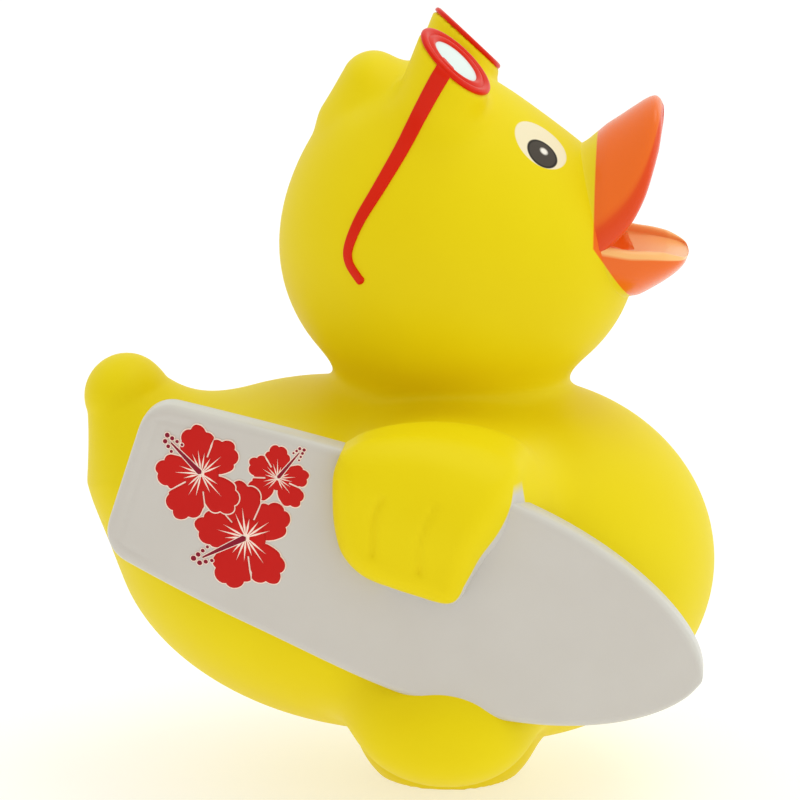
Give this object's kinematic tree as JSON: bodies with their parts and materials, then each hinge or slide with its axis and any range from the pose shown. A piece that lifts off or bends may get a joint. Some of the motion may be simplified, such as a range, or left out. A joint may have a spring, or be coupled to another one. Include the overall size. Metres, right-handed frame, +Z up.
{
  "type": "rubber duck",
  "caption": "Hollow vinyl toy duck standing on a flat round foot, open beak, glasses on its head and a surfboard under its wing.",
  "frame": {"origin": "on the ground, under the middle of the duck's box", "axes": "+X the way the duck faces, +Y its left side, +Z up"},
  "size_m": [0.0702, 0.063, 0.0846],
  "materials": {
    "painted_vinyl": "satin moulded yellow vinyl with orange, red, white, cream and grey painted areas",
    "white_plastic": "moulded white polyethylene",
    "clear_plastic": "milky polyethylene"
  },
  "bodies": {
    "root": {"duck_body": "painted_vinyl", "squeaker_housing": "white_plastic", "squeaker_reed": "clear_plastic"}
  },
  "joints": []
}
